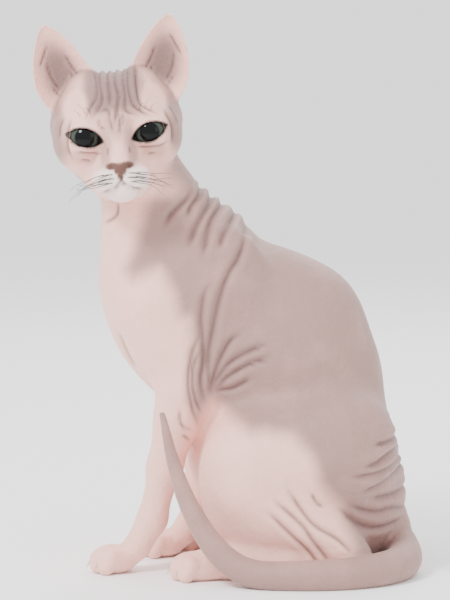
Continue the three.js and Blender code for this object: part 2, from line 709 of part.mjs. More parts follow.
// The tail in three lengths, cut square to its route and clear of the rump.
const rump = fieldSolid((p) => bodyField(p) - GAP - 0.1, [-60, 60, -12], [90, 135, 80], 5);
const rope = tail.solid.subtract(rump).intersect(aboveFloor);
const TAIL_CUTS = [0, 0.36, 0.66, 1];
["tail_root", "tail_middle", "tail_tip"].forEach((name, i) => {
  let piece = rope;
  [[TAIL_CUTS[i], 1], [TAIL_CUTS[i + 1], -1]].forEach(([at, sign]) => {
    if (at === 0 || at === 1) return;
    const reach = 34;
    const centre = tail.curve.getPointAt(at).toArray();
    const along = scale(tail.curve.getTangentAt(at).toArray(), sign);
    const wall = new THREE.CylinderGeometry(reach, reach, GAP, 24);
    wall.applyQuaternion(
      new THREE.Quaternion().setFromUnitVectors(new THREE.Vector3(0, 1, 0), new THREE.Vector3(...along)),
    );
    wall.translate(...centre);
    piece = piece.subtract(solidOf(wall));
  });
  const middle = tail.curve.getPointAt((Math.max(TAIL_CUTS[i], 0.12) + TAIL_CUTS[i + 1]) / 2);
  const near = (s) => {
    const box = s.boundingBox();
    return middle.distanceTo(new THREE.Vector3(...blend(box.min, box.max, 0.5)));
  };
  piece = piece.decompose().filter((s) => s.volume() > 20).reduce((a, b) => (near(a) < near(b) ? a : b));
  addNode(name, piece, "skin");
});

// The origin is under the middle of the figure, on the floor.
cat.updateMatrixWorld(true);
const extent = new THREE.Box3().setFromObject(cat);
const middle = extent.getCenter(new THREE.Vector3());
cat.position.set(-middle.x, -middle.y, -extent.min.z);

export default cat;
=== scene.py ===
"""A hairless sphynx cat at life size, sitting, with its head turned to its left."""
import math

import bpy
import numpy as np
from mathutils import Matrix, Vector


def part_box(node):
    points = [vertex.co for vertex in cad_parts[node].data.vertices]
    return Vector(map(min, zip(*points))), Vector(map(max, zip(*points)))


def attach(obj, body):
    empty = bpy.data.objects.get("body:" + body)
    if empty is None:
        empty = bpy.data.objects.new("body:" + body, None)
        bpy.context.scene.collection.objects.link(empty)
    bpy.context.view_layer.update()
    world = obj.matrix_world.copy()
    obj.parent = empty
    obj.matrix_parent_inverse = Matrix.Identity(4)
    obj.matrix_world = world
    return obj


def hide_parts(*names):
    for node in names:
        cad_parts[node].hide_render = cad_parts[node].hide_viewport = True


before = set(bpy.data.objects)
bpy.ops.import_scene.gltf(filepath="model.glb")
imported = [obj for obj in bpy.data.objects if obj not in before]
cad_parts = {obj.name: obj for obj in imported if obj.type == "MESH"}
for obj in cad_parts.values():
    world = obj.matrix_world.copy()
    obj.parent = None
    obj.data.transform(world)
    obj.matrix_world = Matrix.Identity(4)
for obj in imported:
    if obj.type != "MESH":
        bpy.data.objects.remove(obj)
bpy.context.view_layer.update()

scene = bpy.context.scene

# Sizes, in millimetres, in the cat's own frame: +X its left, -Y the way it faces, Z up from
# the floor. CAT_TO_ROW moves that frame to the middle of the CAD part's box.
MM = 0.001
HEAD_AT = np.array((24.0, -90.0, 312.5))
HEAD_YAW, HEAD_PITCH, HEAD_ROLL = np.radians((92.0, 2.0, 5.2))
EYE_AT = np.array((22.6, 24.5, 0.0))
EYE_RADIUS = 11.6
LID_THICKNESS = 1.9
EYE_SLANT = math.radians(17)
LID_RADIUS, LID_OFFSET = 16.0, 9.6
PAW_WIDTH = 31.0
TOE_RADIUS = 6.0
FOREPAW_STAGGER = 33.0
FLOOR_SINK = 0.6
TAIL_ROUTE = np.array((
    (0, 92, 36), (6, 104, 27), (22, 113, 16), (48, 112, 11), (72, 95, 9.8), (86, 66, 9),
    (89, 32, 8.6), (86, 2, 11), (81, -20, 26), (76, -38, 54), (71, -50, 86), (66, -58, 120),
), float)


# Distance fields on arrays of points, negative inside.
def join(a, b, k):
    h = np.clip(0.5 + 0.5 * (b - a) / k, 0, 1)
    return b + (a - b) * h - k * h * (1 - h)


def carve(a, b, k):
    return -join(-a, -b, k)


def step(low, high, value):
    t = np.clip((value - low) / (high - low), 0, 1)
    return t * t * (3 - 2 * t)


def length(v):
    return np.sqrt((v * v).sum(-1))


def bone(p, a, b, ra, rb):
    a, b = np.asarray(a, np.float32), np.asarray(b, np.float32)
    ab, ap = b - a, p - a
    t = np.clip(ap @ ab / (ab @ ab), 0, 1)
    return length(ap - t[:, None] * ab) - (ra + (rb - ra) * t)


def mass(p, centre, radii, tilt=0.0, turn=0.0):
    q = p - np.asarray(centre, np.float32)
    ct, st = math.cos(math.radians(turn)), math.sin(math.radians(turn))
    ci, si = math.cos(math.radians(tilt)), math.sin(math.radians(tilt))
    x, y = q[:, 0] * ct + q[:, 1] * st, q[:, 1] * ct - q[:, 0] * st
    y, z = y * ci + q[:, 2] * si, q[:, 2] * ci - y * si
    q = np.stack((x, y, z), 1) / np.asarray(radii, np.float32)
    near = length(q)
    far = length(q / np.asarray(radii, np.float32))
    return near * (near - 1) / np.maximum(far, 1e-6)


def chain(p, points, radii, k):
    d = None
    for a, b, ra, rb in zip(points, points[1:], radii, radii[1:]):
        link = bone(p, a, b, ra, rb)
        d = link if d is None else join(d, link, k)
    return d


def mirrored(p):
    return np.concatenate((np.abs(p[:, :1]), p[:, 1:]), 1)


def head_axes():
    cy, sy = math.cos(HEAD_YAW), math.sin(HEAD_YAW)
    cp, sp = math.cos(HEAD_PITCH), math.sin(HEAD_PITCH)
    cr, sr = math.cos(HEAD_ROLL), math.sin(HEAD_ROLL)
    forward = np.array((sy * cp, -cy * cp, sp))
    left = np.array((cy, sy, 0.0))
    up = np.cross(forward, left)
    return np.array((left * cr + up * sr, forward, up * cr - left * sr))


HEAD_AXES = head_axes()


def to_head(p):
    return ((p - HEAD_AT) @ HEAD_AXES.T).astype(np.float32)


def from_head(q):
    return np.asarray(q, float) @ HEAD_AXES + HEAD_AT


# The CAD eye shows where the cat's frame lies in the row's: its front is the eyeball's own front.
eye_low, eye_high = (np.array(corner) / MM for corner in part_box("eye_left"))
left_eye = from_head(EYE_AT)
CAT_TO_ROW = np.array((
    eye_high[0] - EYE_RADIUS - left_eye[0],
    (eye_low[1] + eye_high[1]) / 2 - left_eye[1],
    0.0,
))


def torso_field(p):
    m = mirrored(p)
    d = mass(p, (0, -34, 172), (49, 54.5, 78.5), 44.5)
    d = join(d, mass(p, (0, -67, 222), (38, 33.5, 43), 13), 22)
    d = join(d, mass(p, (0, 35, 147.5), (52, 60, 83.5), 27), 30)
    d = join(d, bone(p, (0, 6, 197), (0, 44, 180), 36, 37), 16)
    d = join(d, mass(p, (0, 66, 56), (54, 50.5, 66.5), 4.5), 24)
    d = join(d, mass(p, (0, 6, 88), (50, 48, 54)), 20)
    d = join(d, mass(m, (33, -20, 200), (17, 30, 46), -24), 14)
    d = join(d, bone(m, (33, -67, 190), (36, -42, 140), 22, 18), 16)
    return join(d, bone(p, (0, 92, 36), (5, 108, 27), 15, 12), 12)


def neck_field(p):
    return chain(p, ((0, -40, 226), (0, -64, 256), (0, -80, 291)), (46, 34, 31), 10)


def paw_toes(heel, toe, side):
    """Root, knuckle and tip of each toe, with the ways forward and across."""
    heel, toe = np.asarray(heel, float), np.asarray(toe, float)
    forward = (toe - heel) / np.linalg.norm(toe - heel)
    across = np.array((-forward[1] * side, forward[0] * side, 0.0))
    place = lambda back, out, up: toe - forward * back + across * out + np.array((0, 0, up))
    toes = []
    for share, back in ((-0.37, 12.5), (-0.13, 7.0), (0.13, 6.5), (0.37, 12.0)):
        tip = place(back, share * PAW_WIDTH, TOE_RADIUS - FLOOR_SINK)
        root = place(20, share * PAW_WIDTH * 0.75, 11)
        toes.append((root, root * 0.45 + tip * 0.55 + np.array((0, 0, 3.4)), tip))
    return forward, place(17, 0, 9), toes


def paw_field(p, heel, toe, side):
    forward, palm, toes = paw_toes(heel, toe, side)
    turn = math.degrees(math.atan2(-forward[0], forward[1]))
    d = mass(p, palm, (PAW_WIDTH * 0.48, 17, 10.5), 0, turn)
    for root, knuckle, tip in toes:
        digit = join(
            bone(p, root, knuckle, TOE_RADIUS - 0.2, TOE_RADIUS + 0.4),
            bone(p, knuckle, tip, TOE_RADIUS + 0.4, TOE_RADIUS),
            2,
        )
        d = join(d, digit, 1.6)
    return d


# Heel and toe of each paw on the floor, and its side.
PAWS = {
    "foreleg_left": ((29, -72, 0), (30, -111, 0), 1),
    "foreleg_right": ((-29, -72 + FOREPAW_STAGGER, 0), (-30, -111 + FOREPAW_STAGGER, 0), -1),
    "hindleg_left": ((56, -14, 0), (55, -53, 0), 1),
    "hindleg_right": ((-56, -14, 0), (-55, -53, 0), -1),
}


def foreleg_field(p, side, shift):
    points = (
        (side * 36, -44 + shift * 0.35, 130),
        (side * 31, -57 + shift * 0.75, 76),
        (side * 29, -66 + shift, 38),
        (side * 29, -77 + shift, 18),
    )
    d = chain(p, points, (18.5, 11.5, 9.5, 10), 8)
    elbow = (side * 36, -37 + shift * 0.35, 128)
    d = join(d, bone(p, elbow, (side * 35, -48 + shift * 0.4, 112), 9.5, 12), 10)
    return join(d, paw_field(p, (side * 29, -72 + shift, 0), (side * 30, -111 + shift, 0), side), 6)


def hindleg_field(p, side):
    d = bone(p, (side * 35, 62, 92), (side * 54, 5, 84), 46, 32)
    d = join(d, mass(p, (side * 48, 24, 66), (26, 56, 56)), 14)
    d = join(d, bone(p, (side * 54, 3, 66), (side * 58, 66, 24), 26, 15), 12)
    foot = ((side * 58, 76, 16), (side * 57, 30, 11), (side * 56, -24, 11.5))
    d = join(d, chain(p, foot, (14, 11.5, 11.5), 6), 8)
    return join(d, paw_field(p, (side * 56, -14, 0), (side * 55, -53, 0), side), 6)


def spline(points, count):
    """Points evenly spread along a Catmull-Rom curve."""
    ends = np.vstack((2 * points[0] - points[1], points, 2 * points[-1] - points[-2]))
    out = []
    for a, b, c, d in zip(ends, ends[1:], ends[2:], ends[3:]):
        for t in np.linspace(0, 1, 24, endpoint=False):
            out.append(0.5 * (2 * b + (c - a) * t + (2 * a - 5 * b + 4 * c - d) * t**2
                              + (3 * b - a - 3 * c + d) * t**3))
    out = np.array(out + [points[-1]])
    run = np.concatenate(([0], np.cumsum(length(np.diff(out, axis=0)))))
    spread = np.linspace(0, run[-1], count)
    return np.stack([np.interp(spread, run, out[:, i]) for i in range(3)], 1)


TAIL = spline(TAIL_ROUTE, 40)
TAIL_SHARE = np.linspace(0, 1, len(TAIL))
TAIL_RADII = 12.5 * (1 - TAIL_SHARE) ** 0.9 + 13.2 * TAIL_SHARE * (1 - TAIL_SHARE) + 1.9 * TAIL_SHARE


def tail_field(p):
    d = np.full(len(p), 60.0, np.float32)
    for a, b, ra, rb in zip(TAIL, TAIL[1:], TAIL_RADII, TAIL_RADII[1:]):
        d = np.minimum(d, bone(p, a, b, ra, rb))
    return d


def skull_field(q):
    m = mirrored(q)
    d = mass(q, (0, -9, 11), (36, 43, 34))
    d = join(d, mass(m, (25.5, 2, -1), (20, 27, 24), 0, -12), 12)
    d = join(d, bone(m, (20, -14, -20), (9, 24, -34), 13, 11), 10)
    d = join(d, mass(m, (15, 19, 13), (14, 14, 11)), 8)
    d = join(d, bone(q, (0, 20, 12), (0, 45, -16), 11, 7), 9)
    d = join(d, bone(q, (0, 22, -21), (0, 36, -27), 19, 14.5), 9)
    d = join(d, mass(m, (9, 41, -29.5), (11.5, 11.5, 9), 0, -25), 3.5)
    d = join(d, mass(q, (0, 38, -39.5), (11, 9.5, 7.5)), 3.5)
    d = join(d, mass(q, (0, 48.5, -22), (7.5, 6.5, 6)), 3)
    d = join(d, bone(m, (20, -8, 33), (33, -9, 11), 13, 13), 10)
    return join(d, length(m - EYE_AT.astype(np.float32)) - EYE_RADIUS - LID_THICKNESS, 3.5)


def lid_opening(m, grow):
    """Negative inside the almond between the lids, seen from the front."""
    du, dv = m[:, 0] - EYE_AT[0], m[:, 2] - EYE_AT[2]
    u = du * math.cos(EYE_SLANT) + dv * math.sin(EYE_SLANT)
    v = dv * math.cos(EYE_SLANT) - du * math.sin(EYE_SLANT)
    r = LID_RADIUS + grow
    return np.maximum(np.hypot(u, v + LID_OFFSET) - r, np.hypot(u, v - LID_OFFSET) - r)


def face_field(d, q):
    m = mirrored(q)
    deep = length(m - EYE_AT.astype(np.float32))
    opening = np.maximum(lid_opening(m, 0.0), EYE_RADIUS - 1.3 - deep)
    d = carve(d, -np.maximum(opening, EYE_AT[1] + 1 - m[:, 1]), 0.9)
    d = carve(d, -bone(m, (3.2, 56.0, -23.6), (7.0, 51.0, -21.6), 1.1, 1.6), 0.8)
    return d


# Ears: cupped sheets. Height runs from the middle of the base to the tip.
EAR_BASE = np.array((28.0, -3.0, 24.0))
EAR_TIP = np.array((45.0, -4.0, 81.0))
EAR_HEIGHT = float(np.linalg.norm(EAR_TIP - EAR_BASE))
EAR_UP = (EAR_TIP - EAR_BASE) / EAR_HEIGHT
EAR_OUT = np.array((26.0, 2.0, -30.0))
EAR_OUT = EAR_OUT - EAR_UP * (EAR_OUT @ EAR_UP)
EAR_OUT /= np.linalg.norm(EAR_OUT)
EAR_FRONT = np.cross(EAR_UP, EAR_OUT)


def ear_outline(h):
    """Inner and outer edge at a height."""
    x = np.clip(h / EAR_HEIGHT, -0.3, 1)
    arch = np.sin(np.pi * np.clip(x * 0.86 + 0.14, 0, 1))
    taper = np.sqrt(np.maximum(1 - x, 0))
    inner = -20.5 * taper - 2.8 * arch
    pouch = 3.5 * step(22, -4, h)
    outer = 14 * taper + 11.5 * arch**0.8 * (1 - 0.3 * x) - pouch
    return inner, outer


def ear_field(q, swell):
    m = mirrored(q) - EAR_BASE.astype(np.float32)
    h, w, n = m @ EAR_UP, m @ EAR_OUT, m @ EAR_FRONT
    top = EAR_HEIGHT - 0.6
    inner, outer = ear_outline(np.minimum(h, top))
    middle, half_width = (inner + outer) / 2, (outer - inner) / 2
    t = (w - middle) / half_width
    a = np.clip(h / EAR_HEIGHT, 0, 1)
    cup = np.clip(1 - t * t, 0, 1)
    depth = 0.62 * half_width * (1 - 0.3 * a)
    sheet = -depth * cup
    slope = 1.24 * (1 - 0.3 * a) * np.clip(np.abs(t), 0, 1)
    off = (n - sheet) / np.sqrt(1 + slope**2)
    thick = 0.85 + 1.2 * (1 - a) ** 2 * cup + 0.25 * cup
    edge = np.maximum(np.abs(w - middle) - half_width + thick, 0) * 0.93
    over = np.maximum(h - top, 0) + np.maximum(-9 - h, 0)
    return np.sqrt(off**2 + edge**2 + over**2) - thick - swell


def body_field(p):
    d = join(torso_field(p), neck_field(p), 16)
    for side, shift in ((1, 0), (-1, FOREPAW_STAGGER)):
        near = (p[:, 2] < 190) & (p[:, 0] * side > -25)
        if near.any():
            d[near] = join(d[near], hindleg_field(p[near], side), 12)
            d[near] = join(d[near], foreleg_field(p[near], side, shift), 10)
    near = p[:, 2] < 150
    if near.any():
        d[near] = join(d[near], tail_field(p[near]), 4)
    return d


def cat_field(p, swell=0.0):
    p = p.astype(np.float32)
    d = body_field(p)
    q = to_head(p)
    near = length(q) < 120
    if near.any():
        q = q[near]
        skull = join(skull_field(q), ear_field(q, swell), 5)
        d[near] = face_field(join(d[near], skull, 9), q)
    return np.maximum(d, -p[:, 2])


# Meshing
def surface_nets(field, low, high, cell, swell):
    """Quads through the cells that the surface crosses. Only blocks near it are worked out."""
    low, high = np.asarray(low, float), np.asarray(high, float)
    size = 6
    blocks = -(-np.ceil((high - low) / cell).astype(int) // size)
    value = np.full(tuple(blocks * size + 1), 1e3, np.float32)
    middles = [low[i] + cell * size * (np.arange(blocks[i]) + 0.5) for i in range(3)]
    grid = np.stack(np.meshgrid(*middles, indexing="ij"), -1).reshape(-1, 3)
    coarse = field(grid, swell).reshape(tuple(blocks))
    offsets = np.stack(np.meshgrid(*[np.arange(size + 1)] * 3, indexing="ij"), -1).reshape(-1, 3)

    def part(i, j, k):
        return tuple(slice(c * size, c * size + size + 1) for c in (i, j, k))

    for ijk in np.argwhere(coarse < 0):
        value[part(*ijk)] = np.minimum(value[part(*ijk)], -1e3)
    hot = np.argwhere(np.abs(coarse) < cell * size * 0.87 + 7)
    for start in range(0, len(hot), 300):
        some = hot[start:start + 300]
        points = ((low + cell * size * some)[:, None] + cell * offsets).reshape(-1, 3)
        values = field(points, swell).reshape(len(some), size + 1, size + 1, size + 1)
        for ijk, v in zip(some, values):
            value[part(*ijk)] = v
    inside = value < 0
    shape = np.array(value.shape) - 1
    total = np.zeros((*shape, 3), np.float32)
    count = np.zeros(tuple(shape), np.int32)
    rings = []
    for axis in range(3):
        first = tuple(slice(0, -1) if i == axis else slice(None) for i in range(3))
        second = tuple(slice(1, None) if i == axis else slice(None) for i in range(3))
        at = np.argwhere(inside[first] != inside[second])
        after = at.copy()
        after[:, axis] += 1
        v0, v1 = value[tuple(at.T)], value[tuple(after.T)]
        where = at.astype(np.float32)
        where[:, axis] += v0 / (v0 - v1)
        cells = []
        for du, dv in ((0, 0), (1, 0), (1, 1), (0, 1)):
            c = at.copy()
            c[:, (axis + 1) % 3] -= du
            c[:, (axis + 2) % 3] -= dv
            np.add.at(total, tuple(c.T), where)
            np.add.at(count, tuple(c.T), 1)
            cells.append(c)
        rings.append((cells, v0 < 0))
    used = count > 0
    ids = np.full(tuple(shape), -1)
    ids[used] = np.arange(used.sum())
    quads = []
    for cells, outward in rings:
        ring = np.stack([ids[tuple(c.T)] for c in cells], 1)
        ring[~outward] = ring[~outward][:, ::-1]
        quads.append(ring)
    return low + cell * (total[used] / count[used][:, None]), np.concatenate(quads)


def triangulate(points, quads):
    """Splits each quad on its shorter diagonal."""
    a = length(points[quads[:, 0]] - points[quads[:, 2]])
    b = length(points[quads[:, 1]] - points[quads[:, 3]])
    short = (a <= b)[:, None]
    one = np.where(short, quads[:, (0, 1, 2)], quads[:, (0, 1, 3)])
    two = np.where(short, quads[:, (0, 2, 3)], quads[:, (1, 2, 3)])
    return np.concatenate((one, two))


def refine(points, tris, chosen):
    """Splits the chosen triangles in four, and their neighbours to match."""
    edges = np.stack((tris, np.roll(tris, -1, 1)), -1)
    keys = np.sort(edges, -1) @ np.array((len(points), 1))
    split, where = np.unique(keys[chosen], return_index=True)
    ends = np.sort(edges[chosen].reshape(-1, 2), -1)[where]
    middle = len(points) + np.arange(len(split))
    points = np.vstack((points, points[ends].mean(1)))
    found = np.searchsorted(split, keys).clip(0, len(split) - 1)
    mid = np.where(split[found] == keys, middle[found], -1)
    cuts = (mid >= 0).sum(1)
    out = [tris[cuts == 0]]
    t, m = tris[cuts == 3], mid[cuts == 3]
    for pick in ((0, 3, 5), (3, 1, 4), (5, 4, 2), (3, 4, 5)):
        out.append(np.hstack((t, m))[:, pick])
    for number, patterns in ((1, ((0, 3, 2), (3, 1, 2))), (2, ((0, 1, 4), (0, 4, 5), (5, 4, 2)))):
        t, m = tris[cuts == number], mid[cuts == number]
        first = np.argmax((m >= 0) if number == 1 else (m < 0), 1)
        turn = (first[:, None] + np.arange(3)) % 3
        both = np.hstack((np.take_along_axis(t, turn, 1), np.take_along_axis(m, turn, 1)))
        out += [both[:, pick] for pick in patterns]
    return points, np.concatenate(out)


def slope_at(field, points, reach=0.2):
    out = np.empty_like(points)
    for axis in range(3):
        nudge = np.zeros(3)
        nudge[axis] = reach
        out[:, axis] = (field(points + nudge) - field(points - nudge)) / (2 * reach)
    return out


def settle(points, field, most, rounds=4):
    for _ in range(rounds):
        slope = slope_at(field, points)
        move = slope * (field(points) / np.maximum((slope**2).sum(1), 0.15))[:, None]
        size = np.maximum(length(move), 1e-9)
        points = points - move * np.minimum(1, most / size)[:, None]
    return points


def relax(points, tris, chosen, share):
    """Moves the chosen vertices towards the mean of their neighbours."""
    edges = np.concatenate((tris[:, (0, 1)], tris[:, (1, 2)], tris[:, (2, 0)]))
    total = np.zeros_like(points)
    np.add.at(total, edges[:, 0], points[edges[:, 1]])
    count = np.bincount(edges[:, 0], minlength=len(points))[:, None]
    mean = total / np.maximum(count, 1)
    return np.where(chosen[:, None], points + (mean - points) * share, points)


def attribute(piece, name, values):
    """A number at each vertex that the materials can read."""
    layer = piece.data.attributes.new(name, "FLOAT", "POINT")
    layer.data.foreach_set("value", np.asarray(values, np.float32))


def make_object(name, points, faces, smooth=True):
    mesh = bpy.data.meshes.new(name)
    mesh.from_pydata((np.asarray(points) * MM).tolist(), [], [list(face) for face in faces])
    mesh.update()
    mesh.polygons.foreach_set("use_smooth", [smooth] * len(mesh.polygons))
    piece = bpy.data.objects.new(name, mesh)
    scene.collection.objects.link(piece)
    return piece


# Folds of loose skin, with painted shade in their creases
# Each line: depth and width, then points. Those of the body are (y, z) on both its sides.
BODY_FOLDS = (
    (2.6, 2.4, (-37, 287), (-40, 270), (-45, 263), (-52, 257), (-57, 249)),
    (2.6, 2.2, (-31, 279), (-33, 269), (-38, 262), (-40, 255)),
    (2.8, 2.4, (-22, 273), (-26, 262), (-34, 249), (-40, 236)),
    (2.8, 2.4, (-13, 266), (-23, 254), (-27, 243), (-29, 229)),
    (2.6, 2.4, (-5, 258), (-14, 245), (-18, 234)),
    (2.4, 2.6, (2, 252), (0, 242), (-3, 229), (-12, 215), (-18, 198), (-23, 175), (-26, 157), (-25, 134)),
    (1.8, 2.2, (-23, 211), (-28, 204), (-31, 188), (-30, 173), (-29, 157), (-31, 141), (-28, 125)),
    (1.6, 1.9, (-32, 173), (-37, 161), (-40, 141), (-37, 121), (-33, 109)),
    (1.5, 1.8, (-32, 161), (-36, 153), (-37, 139), (-34, 125), (-30, 116)),
    (2.0, 2.4, (-24, 132), (-20, 150), (-11, 168), (-3, 174)),
    (2.2, 2.4, (-23, 135), (-14, 150), (-2, 159), (18, 168)),
    (2.2, 2.4, (-21, 134), (-11, 144), (4, 153), (18, 157)),
    (1.6, 2.2, (-21, 133), (-9, 135), (4, 142)),
    (1.4, 2.2, (-90, 173), (-85, 159), (-78, 145)),
    (1.1, 1.7, (-46, 120), (-45, 110), (-38, 104)),
    (1.0, 1.6, (-44, 102), (-39, 96)),
    (1.2, 1.8, (-90, 266), (-91, 256), (-100, 249)),
    (2.2, 2.4, (90, 98), (101, 99), (118, 100)),
    (2.2, 2.4, (82, 83), (92, 85), (103, 91), (119, 94)),
    (2.2, 2.4, (74, 76), (88, 77), (101, 79), (120, 83)),
    (2.0, 2.2, (81, 63), (95, 67), (104, 72), (120, 76)),
    (2.0, 2.2, (89, 57), (103, 57), (120, 59)),
    (2.0, 2.4, (73, 55), (83, 49), (94, 46), (104, 47), (119, 43)),
    (2.0, 2.4, (66, 53), (77, 42), (88, 35), (99, 34), (118, 37)),
    (1.5, 2.0, (16, 52), (32, 35), (45, 22), (54, 9)),
    (1.7, 2.2, (20, 61), (40, 42), (47, 31), (62, 11)),
    (1.7, 2.2, (29, 69), (41, 51), (50, 41), (66, 31), (77, 19)),
    (1.2, 1.8, (46, 65), (50, 58), (55, 54)),
)
# Those of the head are (left, up) in its own frame, seen from the front.
HEAD_FOLDS = (
    (1.7, 1.3, (-13, 52), (-11.5, 37.5), (-12, 27), (-16.5, 21.5), (-21, 13)),
    (1.7, 1.3, (-9, 52), (-9, 34), (-8, 26.5), (-10, 21), (-15, 14)),
    (1.7, 1.3, (-4, 52), (-3, 36.5), (-2.5, 28), (-3, 20)),
    (1.8, 1.3, (1, 52), (2, 35), (4, 27.5), (1.5, 17.5), (-2, 5)),
    (1.7, 1.3, (7, 52), (8, 33.5), (8, 23.5), (7, 17.5), (10.5, 14), (16.5, 12)),
    (1.7, 1.3, (11.5, 52), (11, 30), (14, 18.5), (21, 13), (25.5, 11)),
    (1.7, 1.3, (17, 52), (17, 32.5), (17.5, 21.5), (21.5, 17), (30, 12)),
    (1.3, 1.2, (-11.5, 17), (-5, 18), (-4, 11.5), (-3, 2)),
    (1.3, 1.2, (1.5, 17.5), (2.5, 9.5), (2.5, 1)),
    (1.2, 1.1, (5, 14), (4.5, 6)),
    (1.0, 1.1, (-11, 12), (-12, 8.5), (-8.5, 4)),
    (1.4, 1.5, (34, 15), (38, 6.5), (39, -1.5), (37.5, -10)),
    (1.2, 1.4, (38, 17), (41.5, 10.5), (43, 3)),
    (1.2, 1.4, (-36.5, 15), (-39.5, 9), (-40.5, 1.5)),
    (1.4, 1.5, (-31, 14), (-34.5, 5.5), (-35.5, -6), (-32.5, -14.5)),
    (1.0, 1.2, (12, -9.5), (20, -10.5), (29, -10.5), (34.5, -7.5)),
    (0.7, 1.1, (20, -15), (25, -15)),
    (1.0, 1.2, (-29, -9.5), (-20.5, -11), (-12, -11.5)),
    (0.7, 1.1, (-26.5, -15), (-23.5, -15.5), (-20, -16.5)),
    (0.6, 1.0, (-7.5, -8), (-8, -13)),
    (0.6, 1.0, (8, -8.5), (8, -13)),
)
# The line of the mouth, from the nose down and out to its corner, and the folds inside an ear as
# (out, up) from the middle of its base. Both grooves get painted shade.
MOUTH_LINE = ((1.2, 1.1, (0, -26), (0.2, -31), (1.4, -33.4), (4.8, -35.8), (9.5, -37.8), (15.5, -39.4)),)
EAR_FOLDS = (
    (0.5, 1.1, (1.8, 46.4), (7, 40.5), (13.2, 33.2)),
    (0.6, 1.2, (7.5, 34.4), (8, 24), (5.4, 12.4)),
    (0.5, 1.0, (10, 17.3), (7.7, 10)),
    (0.6, 1.2, (-6.4, 36), (-8, 26), (-10.8, 16)),
    (0.5, 1.0, (-6.7, 22.7), (-3, 10.2)),
)


def crease(flat, folds, scale=1.0):
    """Height of the skin by its folds, and how much each point lies in a crease, which is painted as shade.
    """
    height = np.zeros(len(flat))
    shade = np.zeros(len(flat))
    for depth, width, *line in folds:
        line = spline(np.array([(*point, 0.0) for point in line], float), 14)[:, :2]
        near = np.full(len(flat), 1e9)
        where = np.zeros(len(flat))
        for i, (a, b) in enumerate(zip(line, line[1:])):
            ab = b - a
            t = np.clip(((flat - a) @ ab) / (ab @ ab), 0, 1)
            gap = length(flat - a - t[:, None] * ab)
            closer = gap < near
            near[closer] = gap[closer]
            where[closer] = ((i + t) / (len(line) - 1))[closer]
        fade = np.minimum(1, np.minimum(where, 1 - where) * 5 + 0.15) * (near < width * 6)
        valley = np.exp(-((near / width) ** 2)) * fade
        puff = np.exp(-(((near - 2.1 * width) / (1.2 * width)) ** 2)) * fade
        height += scale * depth * (0.32 * puff - valley)
        shade = np.maximum(shade, np.exp(-((near / (0.62 * width)) ** 2)) * fade)
    return height, shade


def folds(p, normal):
    """Fold height, painted crease shade, and painted shade of the mouth line and ear folds at each point of
    the skin.
    """
    q = to_head(p).astype(float)
    on_head = step(86, 70, length(q)) * step(-58, -50, q[:, 2] + 0.3 * q[:, 1] - 8)
    facing = step(0.15, 0.5, np.abs(normal[:, 0]))
    over_rump = step(62, 74, p[:, 1]) * step(112, 104, p[:, 2])
    over_nape = step(215, 232, p[:, 2]) * step(-0.2, 0.1, normal[:, 1])
    spine = np.maximum(over_rump, over_nape)
    on_tail = step(6.0, 2.5, tail_field(p.astype(np.float32))) * step(112, 118, p[:, 1] + np.abs(p[:, 0]))
    side = np.maximum(facing, spine) * (1 - on_head) * (1 - on_tail)
    body_height, body_shade = crease(p[:, 1:], BODY_FOLDS)
    front = step(-30, -12, q[:, 1]) * on_head
    ear = step(0.5, 3.0, ear_field(q.astype(np.float32), 0.0) - 1.0)
    head_height, head_shade = crease(q[:, (0, 2)], HEAD_FOLDS)
    m = mirrored(q)
    # The mouth line: the height of its groove and the painted shade in it.
    lip_height, lip_shade = crease(m[:, (0, 2)], MOUTH_LINE)
    muzzle = step(30, 36, q[:, 1]) * on_head
    out = m - EAR_BASE
    in_ear = step(-0.1, 0.3, normal @ HEAD_AXES[1]) * step(4, 9, out @ EAR_UP) * (1 - ear)
    ear_height, ear_shade = crease(np.stack((out @ EAR_OUT, out @ EAR_UP), 1), EAR_FOLDS)
    height = body_height * side + head_height * front * ear
    height += lip_height * muzzle + ear_height * in_ear
    shade = np.maximum(body_shade * side, head_shade * front * ear)
    return height, shade, np.maximum(lip_shade * muzzle, ear_shade * in_ear)


# Markings: mauve-grey over the nape, back, rump and tail, pink below, near-white muzzle
# Edge of the pink skin of chest, forelegs, belly and thighs, as (y, z) on both sides.
PINK_EDGE = np.array((
    (-67, 292), (-71, 263), (-77, 240), (-86, 218), (-79, 210), (-60, 219), (-50, 200), (-47, 186),
    (-40, 184), (-38, 168), (-41, 146), (-40, 125), (-33, 106), (-30, 117), (-23, 126), (-11, 116),
    (4, 107), (14, 108), (32, 105), (45, 92), (52, 71), (66, 53), (71, 36), (76, 24), (68, 12),
    (62, -20), (-170, -20), (-170, 300),
), float)


def inside_edge(flat, outline):
    """Signed distance to a closed outline, negative inside."""
    near = np.full(len(flat), 1e9)
    inside = np.zeros(len(flat), bool)
    for a, b in zip(outline, np.roll(outline, -1, 0)):
        ab = b - a
        t = np.clip(((flat - a) @ ab) / (ab @ ab), 0, 1)
        near = np.minimum(near, length(flat - a - t[:, None] * ab))
        crosses = (a[1] > flat[:, 1]) != (b[1] > flat[:, 1])
        at = a[0] + (flat[:, 1] - a[1]) * ab[0] / (ab[1] or 1e-9)
        inside ^= crosses & (flat[:, 0] < at)
    return np.where(inside, -near, near)


def blob(l, u, at, radii, soft=0.5):
    """1 in the middle of a soft oval in the face's plane, 0 outside it."""
    return step(1 + soft, 1 - soft, np.hypot((l - at[0]) / radii[0], (u - at[1]) / radii[1]))


